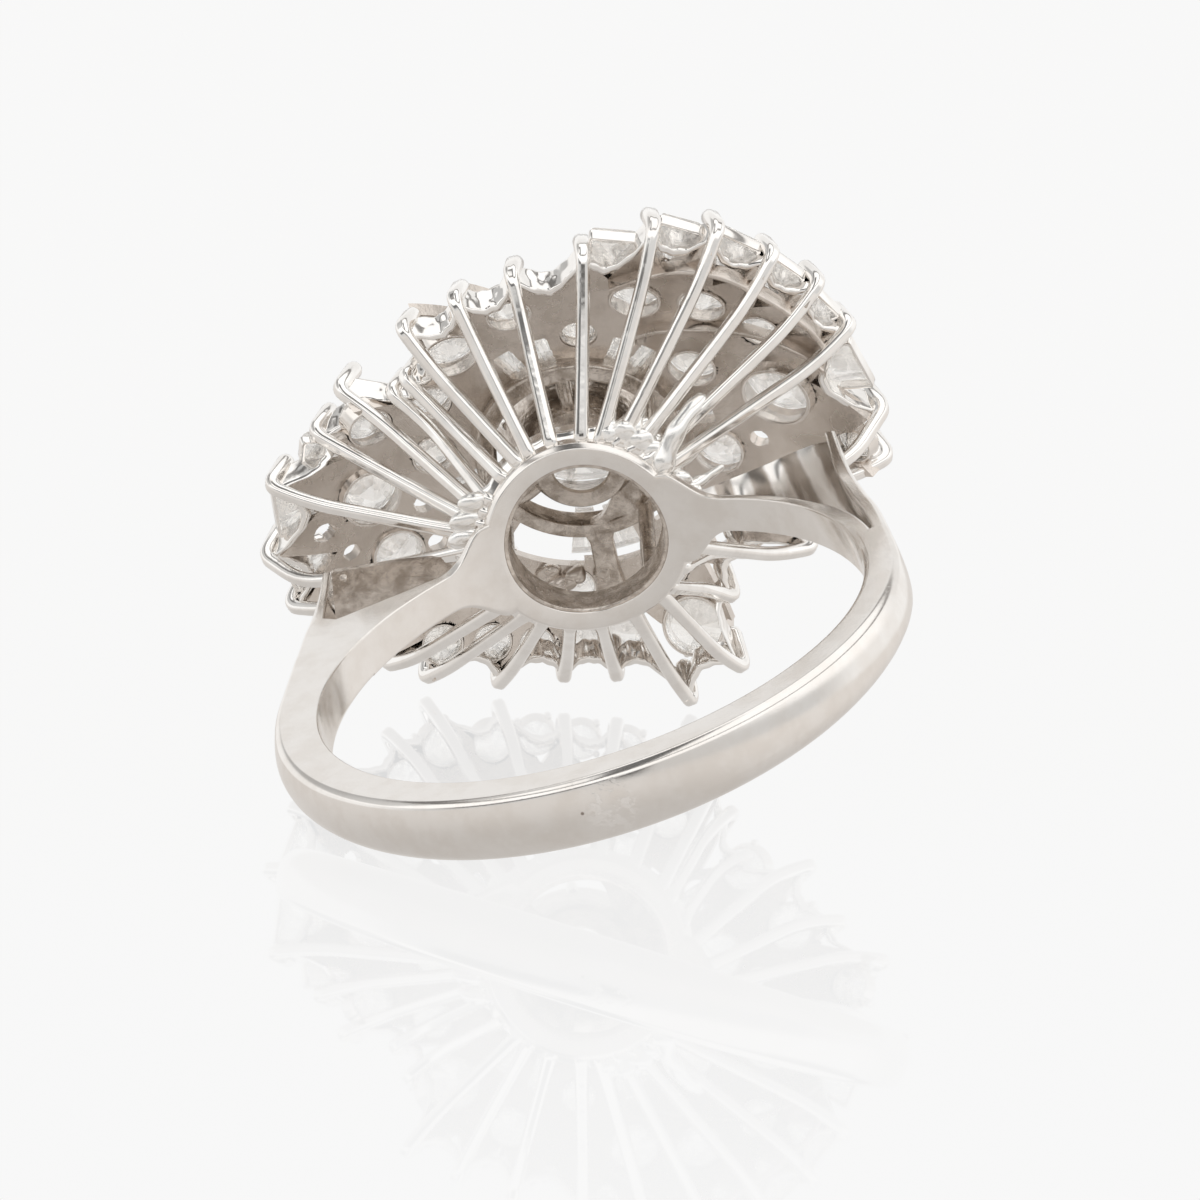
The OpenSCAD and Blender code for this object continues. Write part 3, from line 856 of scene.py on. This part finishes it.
def collar():
    """Collar behind the near face, out of which the wires grow. Its front edge stands out furthest at
    the wires, bell curves at their roots, so that the notches between them are round, and it runs up
    along them where it is filled with solder."""
    angle = full_turn(900)
    off = (angle - ROOT[None] + 180) % 360 - 180
    swell = bell(off, 4.5).sum(1, keepdims=True)
    fill = filled(angle)
    edge = 3.36 + 0.06*swell + fill*(0.5 + 0.45*np.minimum(swell, 1))
    outline = softened([(0, -0.2), (1, -0.02), (1, 0.22), (0, 0.24)], 0.2, 6)[None]
    reach = 2.9 + (edge - 2.9)*outline[..., 0]
    bore = over_bore(ROOT_REACH*np.cos(np.radians(angle)))
    n = bore + ROOT_RISE + 0.42*(reach - ROOT_REACH) + outline[..., 1]
    return tube(to_head(round_head(reach, angle, n)), closed=True)


# Lumps of solder where the wires root: place in the ring frame, half sizes in the head frame, and a
# number that sets their bumps
SOLDER = [((2.15, 8.95, 2.78), (0.40, 0.52, 0.3), 1.0), ((2.5, 8.9, 2.4), (0.52, 0.5, 0.32), 2.3),
          ((2.8, 8.85, 1.95), (0.46, 0.5, 0.3), 4.0), ((3.05, 8.8, 1.4), (0.44, 0.42, 0.3), 5.1),
          ((3.3, 8.65, 0.9), (0.4, 0.42, 0.28), 0.4), ((3.5, 8.6, 0.45), (0.4, 0.3, 0.26), 3.1),
          ((-2.95, 8.78, 2.1), (0.5, 0.36, 0.28), 1.9), ((-3.3, 8.76, 1.6), (0.6, 0.38, 0.28), 3.6),
          ((-3.5, 8.74, 1.05), (0.62, 0.36, 0.28), 0.2), ((-3.55, 8.7, 0.6), (0.5, 0.3, 0.26), 5.4)]

# Straps of solder between those lumps and the wires: route, and half thickness at both ends
STRAPS = [([(2.95, 8.5, 1.6), (3.15, 8.6, 1.9), (3.45, 8.75, 2.24), (3.82, 8.95, 2.58),
            (4.2, 9.25, 2.78), (4.6, 9.55, 2.92)], 0.36, 0.24),
          ([(2.25, 8.9, 2.6), (2.5, 9.12, 2.95), (2.85, 9.42, 3.4)], 0.36, 0.17),
          ([(1.7, 8.9, 3.0), (1.8, 9.1, 3.25), (1.95, 9.35, 3.6)], 0.3, 0.14),
          ([(3.0, 8.75, 1.5), (3.5, 8.95, 1.45), (4.05, 9.25, 1.55), (4.5, 9.5, 1.75)], 0.32, 0.12),
          ([(3.3, 8.6, 0.75), (3.9, 8.8, 0.65), (4.6, 9.0, 0.8)], 0.28, 0.1)]

head_piece("head_wires", claw_wires(), WIRE_FINISH)
head_piece("head_rim_strip", [rim_strip()], WIRE_FINISH, polished_corner=50)
head_piece("head_collar", [collar()], WIRE_FINISH)
LUMPS = [blob(to_head(place), size, seed, uneven=0.35) for place, size, seed in SOLDER]
head_piece("head_solder", [strap(*route) for route in STRAPS] + LUMPS, SOLDER_FINISH)


# Plate, cups and rail

def plate_grid():
    """Grid of angle and reach for the plate, in its plane: even steps as far as the windows, and then
    shares of the way to an outline that waves in between the claws."""
    around, outer_rows = 720, 40
    angle = full_turn(around)[:, 0]
    knots = np.stack([ANGLE, (ANGLE + NEXT_ANGLE)/2], 1).ravel()
    dip = np.full(CLAW_COUNT, PLATE_DIP)
    dip[FANS] = FAN_DIP
    reach = np.stack([REACH - PLATE_IN, (REACH + NEXT_REACH)/2 - dip], 1).ravel()
    edge = np.interp(angle, knots, reach, period=360)
    inner = WINDOW_STEP*np.arange(WINDOW_ROWS) + RAIL_OUT - 0.2
    share = np.linspace(0, 1, outer_rows + 1)[1:, None]
    r = np.concatenate([np.repeat(inner[:, None], around, 1), inner[-1] + (edge - inner[-1])*share])
    return on_plane(r, angle[None]).reshape(-1, 2), mesh_faces(len(r), around, False, True)


def solid_cells(middle, seats):
    """Which cells of the plate are metal, by their middles: those outside every round seat, every slot
    behind a tapered stone and every window."""
    kept = np.ones(len(middle), bool)
    for x, y, radius in seats:
        kept &= np.hypot(*(middle - [x, y]).T) > radius
    slot_from, slot_to, slot_half = 3.2, 4.4, 0.32
    for at in TAPERED_AT:
        along = middle @ on_plane(1.0, at)
        aside = middle @ on_plane(1.0, at + 90)
        kept &= ~((along > slot_from) & (along < slot_to) & (np.abs(aside) < slot_half))
    at = np.degrees(np.arctan2(middle[:, 1], middle[:, 0])) % 360
    out = np.hypot(*middle.T)
    for start, end, low, high in WINDOWS:
        kept &= ~((at > start) & (at < end) & (out > low) & (out < high))
    return kept


def stone_plate():
    """Domed plate: the solid cells of its grid, raised to the sphere's height. The corners round a seat
    move onto its circle, and a second skin below is joined to the first along every open edge."""
    flat, faces = plate_grid()
    seats = [(x, y, SEAT_SHARE*d) for x, y, d in ROUNDS] + LIGHT_GAPS
    faces = faces[solid_cells(flat[faces].mean(1), seats)]
    beside, reached = 0.2, 0.04
    for x, y, radius in seats:
        away = flat - [x, y]
        size = np.hypot(*away.T)
        cells = np.abs(np.hypot(*(flat[faces].mean(1) - [x, y]).T) - radius) < beside
        near = np.zeros(len(flat), bool)
        near[np.unique(faces[cells])] = True
        near &= size < radius + reached
        flat[near] = [x, y] + away[near]/np.maximum(size[near], 1e-6)[:, None]*radius
    used, faces = np.unique(faces, return_inverse=True)
    flat, faces = flat[used], faces.reshape(-1, 4)
    top = raised(flat, dome_height(np.hypot(*flat.T)))
    under = top - unit(top - [0, 0, DOME_C])*PLATE_T
    first, second = faces.ravel(), np.roll(faces, -1, 1).ravel()
    count = len(top)
    open_edge = ~np.isin(first*count + second, second*count + first)
    i, j = first[open_edge], second[open_edge]
    wall = np.stack([j, i, i + count, j + count], -1)
    return outward(np.concatenate([top, under]), np.concatenate([faces, faces[:, ::-1] + count, wall]))


def gallery(places, tall):
    """Thin upright wall under the plate, on a smooth curve through places on the dome."""
    flat = flow(places, 80)
    z = dome_height(np.hypot(*flat.T)) - PLATE_T
    lean = unit(np.gradient(flat, axis=0))
    aside = np.stack([-lean[:, 1], lean[:, 0]], 1)
    box = softened([(-0.08, -tall), (0.08, -tall), (0.1, 0.1), (-0.1, 0.1)], 0.06, 3)[None]
    return tube(raised(flat[:, None] + aside[:, None]*box[..., :1], z[:, None] + box[..., 1]))


def seat_ring(x, y, d):
    """Cup of a round stone: a thin turned ring from behind the plate to the girdle."""
    outline = np.array([(0.80, -0.72), (0.90, -0.74), (1.05, -0.10), (1.05, 0.0), (0.99, 0.0),
                        (0.95, -0.2)])
    return moved(lathe(outline*d/2, 0.03, 40), lambda points: at_seat(points, x, y))


def grain_beads(x, y, d):
    """Four small beads of metal that hold a round stone from the front."""
    half = np.full(3, 0.12)
    shells = []
    for at in (45, 135, 225, 315):
        foot = polar(0.53*d, at, 0.0)
        points = np.stack([foot - [0, 0, 0.1], foot + [0, 0, 0.12], foot*0.93 + [0, 0, 0.26]])
        shells.append(wire(at_seat(points, x, y), polar(1.0, at + 90, 0)[None], half, half, 8))
    return shells


def frame_round(narrow, broad, length, wall, low, high):
    """Open box under a step cut stone: its outline is the stone's, and its section a thin upright
    wall."""
    outline = softened([(0, -narrow/2), (length, -broad/2), (length, broad/2), (0, narrow/2)], 0.12, 3)
    out = unit(outline - outline.mean(0))
    section = softened([(-wall/2, low), (wall/2, low), (wall/2, high), (-wall/2, high)], 0.03, 2)[None]
    return tube(raised(outline[:, None] + out[:, None]*section[..., :1], section[..., 1]), closed=True)


def fan_place(k):
    """Width of the baguette in the gap after claw k, and the function that puts it there."""
    r = (REACH[k] + NEXT_REACH[k])/2 - BAGUETTE_IN
    gap = r*np.sin(np.radians(NEXT_ANGLE[k] - ANGLE[k])/2)*2 - 2*WIRE_R - 0.1
    at = np.array([r - BAGUETTE_L, 0, (HEEL[k] + NEXT_HEEL[k])/2 + BAGUETTE_UP])
    spin = turn("z", (ANGLE[k] + NEXT_ANGLE[k])/2)

    def put(points):
        return (points @ turn("y", BAGUETTE_TILT).T + at) @ spin.T
    return min(BAGUETTE_W, gap), put


def tapered_place(angle):
    """Function that puts a tapered stone at its angle on the dome, its narrow end inwards."""
    def put(points):
        return on_dome(points @ turn("y", TAPERED_TILT).T, TAPERED_R, angle, TAPERED_LIFT)
    return put


def centre_cup():
    """Cup under the centre stone: a turned cone, open behind, with rings left by the cutter."""
    rise = np.linspace(0.0, 1.0, 40)
    cone = np.stack([1.42 + 1.12*rise**0.8 + 0.006*np.sin(90*rise), 0.5 + 2.6*rise], 1)
    inner = [(2.45, 3.3), (2.36, 3.0), (1.6, 1.7), (0.88, 0.62), (0.92, 0.5)]
    outline = np.concatenate([cone, [(2.6, 3.45)], inner])
    return tube(polar(outline[None, :, 0], full_turn(120), outline[None, :, 1]), closed=True)


def centre_claws():
    """Eight claws over the edge of the centre stone."""
    wide, deep = np.full(14, 0.2), np.full(14, 0.17)
    shells = []
    for at in 22.5 + 45*np.arange(8):
        route = [(2.3, 2.6), (2.6, 3.1), (2.56, 3.75), (2.28, 4.05)]
        path = flow([polar(reach, at, height) for reach, height in route], len(wide))
        shells.append(wire(path, polar(1.0, at + 90, 0)[None], wide, deep, 12))
    return shells


def rail():
    """Flat rail round the centre cup, turned about the axis."""
    top = RAIL_Z + RAIL_H
    return lathe([(RAIL_IN, RAIL_Z), (RAIL_OUT, RAIL_Z + 0.1), (RAIL_OUT, top), (RAIL_IN, top)], 0.1, 96)


def posts():
    """Round posts from the cup to the rail, and from the rail to the front of the base ring."""
    shells = []
    for a in CUP_POSTS:
        shells.append(round_wire([polar(1.6, a, 1.4), polar(2.3, a, 1.35), polar(2.95, a, 1.6)], POST_D))
    for a in BASE_POSTS:
        start = polar(3.0, a, 1.6)
        seat = to_head(round_head(2.95, a, BASE_N + 0.1))
        shells.append(round_wire([start, (start + seat)/2, seat], POST_D))
    return shells


def shelf():
    """Shelf that ties the cup to the rail on one side: a flat section carried round the axis, which
    rises and falls by a sine of the angle. Its inner edge is eased out to the rail at one end."""
    edge = 2.85
    section = softened([(1.75, 1.35), (edge, 1.35), (edge, 1.7), (1.9, 1.75)], 0.08)[None]
    angle = np.linspace(-12, 104, 60)[:, None]
    ripple = 0.03*np.sin(0.325*angle)
    reach = edge - (edge - section[..., 0])*(1 - 0.93*smooth(angle, 66, 104))
    return tube(polar(reach, angle, section[..., 1] + ripple))


def strut():
    """Broad strut behind the plate, which follows the dome outwards from the rail and spreads at both
    ends in eased steps."""
    section = softened([(-0.36, -0.18), (0.36, -0.18), (0.4, 0.18), (-0.4, 0.18)], 0.12)[None]
    reach = np.linspace(3.1, 5.4, 24)[:, None]
    height = dome_height(reach) - 0.62 - 0.15*smooth(reach, 3.9, 3.1)
    spread = 1 + 0.25*smooth(reach, 4.4, 5.4) + 0.3*smooth(reach, 3.6, 3.1)
    loops = np.stack(np.broadcast_arrays(reach, section[..., 0]*spread, height + section[..., 1]), -1)
    return tube(loops @ turn("z", 96).T)


# Gallery walls under the plate: route and how far down they reach
GALLERIES = [
    ([(2.69, -3.86), (3.74, -3.95), (5.31, -3.76), (6.66, -3.38), (7.84, -2.53), (8.3, -1.9)], 0.5),
    ([(2.81, -6.3), (4.25, -6.7), (5.37, -6.75), (6.45, -6.3), (7.2, -5.5), (7.9, -4.6), (8.5, -3.5),
      (8.7, -2.54)], 0.55)]

# Rough lumps that show through the base ring's hole: place, half sizes, and a number for their bumps
ROUGH_LUMPS = [((-2.3, 4.15, 1.5), (0.42, 0.3, 0.3), 0.7), ((-1.55, 4.5, 1.45), (0.4, 0.3, 0.28), 2.9),
               ((-2.0, 4.6, 1.35), (0.5, 0.3, 0.3), 4.4), ((-0.6, 4.7, 1.4), (0.36, 0.3, 0.28), 1.6)]

FRAMES = []
for fan in FANS:
    width, put = fan_place(fan)
    box = frame_round(BAGUETTE_NARROW*width + 0.1, width + 0.1, BAGUETTE_L + 0.05, 0.14, -0.34, 0.02)
    FRAMES.append(moved(box, put))
for angle in FRAMED:
    box = frame_round(TAPERED_NARROW*TAPERED_W + 0.08, TAPERED_W + 0.08, TAPERED_L + 0.05,
                      0.12, -0.34, 0.05)
    FRAMES.append(moved(box, tapered_place(angle)))

head_piece("head_plate", [stone_plate()], CAST, polished_corner=50)
head_piece("head_gallery", [gallery(*wall) for wall in GALLERIES], CAST, polished_corner=50)
head_piece("head_cups", [seat_ring(*seat) for seat in ROUNDS], POLISHED, polished_corner=40)
head_piece("head_beads", [bead for seat in ROUNDS for bead in grain_beads(*seat)], WIRE_FINISH)
head_piece("head_frames", FRAMES, WIRE_FINISH, polished_corner=40)
# The centre cup and the rail take the darker turned gold: painted shade deep behind the base ring's hole.
head_piece("head_centre_cup", [centre_cup()], TURNED_SHADED, polished_corner=40)
head_piece("head_centre_claws", centre_claws(), WIRE_FINISH)
head_piece("head_rail", [rail(), *posts(), shelf(), strut()], TURNED_SHADED, polished_corner=40)
head_piece("head_lumps", [blob(*lump) for lump in ROUGH_LUMPS], CAST)


def side_plate():
    """Small upright plate that closes the left window behind the shoulder, with a bead in its corner."""
    outline = softened([(-7.8, 1.2), (-6.0, 0.95), (-4.3, 0.62), (-4.2, 0.2), (-5.9, -0.5), (-8.2, -0.5)],
                       0.08)
    loops = [np.stack([outline[:, 0], np.full(len(outline), n), outline[:, 1]], -1) for n in (8.8, 9.0)]
    bead = blob((-7.5, 8.77, 0.92), (0.13, 0.1, 0.13), 1.0)
    return [moved(shell, from_ring) for shell in (tube(np.stack(loops)), bead)]


# The side plate takes the darker turned gold: painted shadow between the spike and the shoulder.
piece("head_side_plate", side_plate(), TURNED_SHADED, ["setting"], polished_corner=50)


# Stones

def brilliant(d):
    """Round brilliant: a table, eight stars, eight kites and sixteen upper facets over a girdle of
    sixteen sides, and below it sixteen lower facets and eight mains down to the culet."""
    r = d/2
    eight = 45*np.arange(8)
    sixteen = 22.5*np.arange(16)
    girdle = 0.08*d
    points = np.concatenate([
        polar(0, 0.0, np.array([girdle + 0.30*r])),
        polar(0.56*r, eight, girdle + 0.30*r),
        polar(0.78*r, eight + 22.5, girdle + 0.19*r),
        polar(r, sixteen, girdle),
        polar(r, sixteen, 0.0),
        polar(0.24*r, eight + 22.5, -0.67*r),
        polar(0, 0.0, np.array([-0.86*r]))])
    table, star, upper, lower, deep, culet = 1, 9, 17, 33, 49, 57
    k = np.arange(8)
    after, before = (k + 1) % 8, (k - 1) % 8
    none = np.full(8, -1)
    even, odd, next_even = 2*k, 2*k + 1, (2*k + 2) % 16
    g = np.arange(16)
    faces = [
        [0*k, table + k, table + after, none],
        [table + k, star + k, table + after, none],
        [table + k, star + before, upper + even, star + k],
        [star + k, upper + even, upper + odd, none],
        [star + k, upper + odd, upper + next_even, none],
        [deep + k, lower + odd, lower + even, none],
        [deep + k, lower + next_even, lower + odd, none],
        [0*k + culet, deep + k, lower + even, deep + before],
        [upper + g, lower + g, lower + (g + 1) % 16, upper + (g + 1) % 16]]
    return outward(points, np.concatenate([np.stack(f, -1) for f in faces]))


def step_cut(narrow, broad, length):
    """Step cut stone along x: outlines that narrow in three steps from the girdle down to the keel and
    in two up to the table, each joined to the next. A step has its height, how far it draws in at
    both ends, and the share of the width that it draws in."""
    steps = [(-0.62, 0.34, 0.92), (-0.40, 0.20, 0.55), (-0.12, 0.05, 0.16), (0.0, 0.0, 0.0),
             (0.12, 0.0, 0.0), (0.26, 0.09, 0.10), (0.42, 0.25, 0.22)]
    z, end, side = np.array(steps).T
    narrow, broad = (np.maximum(w/2*(1 - side), 0.05) for w in (narrow, broad))
    corners = [(end, -narrow, z), (length - end, -broad, z), (length - end, broad, z), (end, narrow, z)]
    return tube(np.transpose(corners, (2, 0, 1)))


def stone(name, shell, put, node):
    """Stone that stands for its own node."""
    piece(name, in_head([moved(shell, put)]), DIAMOND, [node])


stone("diamond_centre", brilliant(CENTRE_D), lambda p: p + [0, 0, CENTRE_Z], "centre_stone")
for i, (x, y, d) in enumerate(ROUNDS, 1):
    stone(f"diamond_round_{i}", brilliant(d), lambda p: at_seat(p, x, y), f"round_{i}")
TAPERED = step_cut(TAPERED_NARROW*TAPERED_W, TAPERED_W, TAPERED_L)
for i, angle in enumerate(TAPERED_AT, 1):
    stone(f"diamond_tapered_{i}", TAPERED, tapered_place(angle), f"tapered_{i}")
for i, fan in enumerate(FANS, 1):
    width, put = fan_place(fan)
    baguette = step_cut(BAGUETTE_NARROW*width, width, BAGUETTE_L)
    stone(f"diamond_baguette_{i}", baguette, put, f"baguette_{i}")


# Table, backdrop, light and camera

# Height of the table under the ring, and the greys of its glow and of its mirror
TABLE_Z = -4.72
TABLE_GREY = (0.939, 0.939, 0.939, 1)
MIRROR_GREY = (0.945, 0.945, 0.945, 1)

# Camera: place, direction, focal length and the width of its sensor
CAMERA_AT = np.array([-11.58, -332.65, 78.75])
CAMERA_LOOK = np.array([0.0343, 0.9738, -0.2250])
CAMERA_LENS = 342.4
SENSOR = 36.0


def pale_table():
    """Pale grey glow that mirrors the ring faintly: most under the head, less towards the viewer, and
    not at all up the wall."""
    material = bpy.data.materials.new("pale_table")
    paint = Paint(material)
    _, y, z = paint.parts(paint.place())
    shine = (y.eased(-75.0, 5.0)*0.12 + y.eased(-10.0, 10.0)*0.14)*z.eased(20.0, -3.0)
    glow = paint.add("ShaderNodeEmission", {}, {"Color": TABLE_GREY, "Strength": 1.0})
    mirror = paint.add("ShaderNodeBsdfGlossy", {}, {"Color": MIRROR_GREY, "Roughness": 0.015})
    mixed = paint.add("ShaderNodeMixShader", {}, {0: shine, 1: glow.outputs[0], 2: mirror.outputs[0]})
    paint.add("ShaderNodeOutputMaterial", {}, {"Surface": mixed.outputs[0]})
    return material


def studio():
    """Table and backdrop in one: flat under the ring, rising into a wall and closed above. Only the
    camera sees it, so that the light comes from the tent alone."""
    curve = flow([(0.5, 0), (200, 0), (600, 0), (900, 60), (1050, 400), (900, 900), (400, 1150),
                  (0.5, 1200)], 60)[:, None]
    loops = polar(curve[..., 0], full_turn(96)[:, 0], curve[..., 1] + TABLE_Z)
    made = joined("studio", [tube(loops)], pale_table(), polished_corner=180)
    made.visible_glossy = made.visible_diffuse = made.visible_transmission = made.visible_shadow = False


def light_tent():
    """Soft light from all round: a bright ceiling, a seam between it and the walls, a dark gap over the
    table in front, where the lens stands, a dark flag beside it, a small black card overhead, a grey
    panel on the left, a softer wall behind, and the table's own light below, brightest near and to the
    right."""
    world = bpy.data.worlds.new("light_tent")
    bpy.context.scene.world = world
    paint = Paint(world)
    x, y, z = paint.parts(paint.add("ShaderNodeTexCoord").outputs["Generated"])
    above = z.eased(0.20, 0.34)
    below = z.eased(0.0, -0.10)
    front = y.eased(0.15, -0.35)
    lens = x.size().eased(0.14, 0.06)*front*z.between(-0.06, 0.04, 0.16, 0.22)
    seam = z.between(0.66, 0.69, 0.74, 0.77)
    gap = (1 - above)*(1 - below)*front
    behind = y.eased(0.25, 0.7)*z.eased(0.85, 0.65)
    floor = z.eased(-0.8, -0.15, 0.61, 0.78) + x.eased(0.3, 0.9)*0.08
    flag = x.between(-0.95, -0.85, -0.2, -0.10)*front*z.between(0.12, 0.17, 0.29, 0.34)
    panel = x.eased(-0.35, -0.42)*y.eased(0.0, 0.12)*z.eased(0.3, 0.4)
    card = x.between(-0.43, -0.36, -0.15, -0.08)*y.between(-0.66, -0.58, 0.2, 0.3)*z.eased(0.62, 0.7)
    light = 1.0 + above*(0.22 - 0.30*behind)
    light = light*(1 - below) + below*floor
    for dark, share in ((gap, 0.3), (lens, 0.88), (flag, 0.8), (panel, 0.45), (card, 0.88), (seam, 0.75)):
        light = light*(1 - dark*share)
    colour = mix_colours(paint, below.most(lens).most(seam), (1.0, 0.995, 0.985), (0.99, 0.955, 0.92))
    sky = paint.add("ShaderNodeBackground", {}, {"Color": colour, "Strength": light})
    paint.add("ShaderNodeOutputWorld", {}, {"Surface": sky.outputs[0]})


def camera():
    """Camera where the photograph was taken from: behind the palm, a little above the table."""
    data = bpy.data.cameras.new("camera")
    data.lens = CAMERA_LENS
    data.sensor_width = SENSOR
    data.clip_start = 0.01
    data.clip_end = 10.0
    made = bpy.data.objects.new("camera", data)
    bpy.context.scene.collection.objects.link(made)
    forward = unit(CAMERA_LOOK)
    right = unit(np.cross(forward, [0, 0, 1.0]))
    up = np.cross(right, forward)
    columns = np.eye(4)
    columns[:, :3] = np.stack([right, up, -forward, CAMERA_AT*METRES])
    made.matrix_world = columns.tolist()
    bpy.context.scene.camera = made


studio()
light_tent()
camera()
bpy.context.scene.view_settings.view_transform = "Standard"
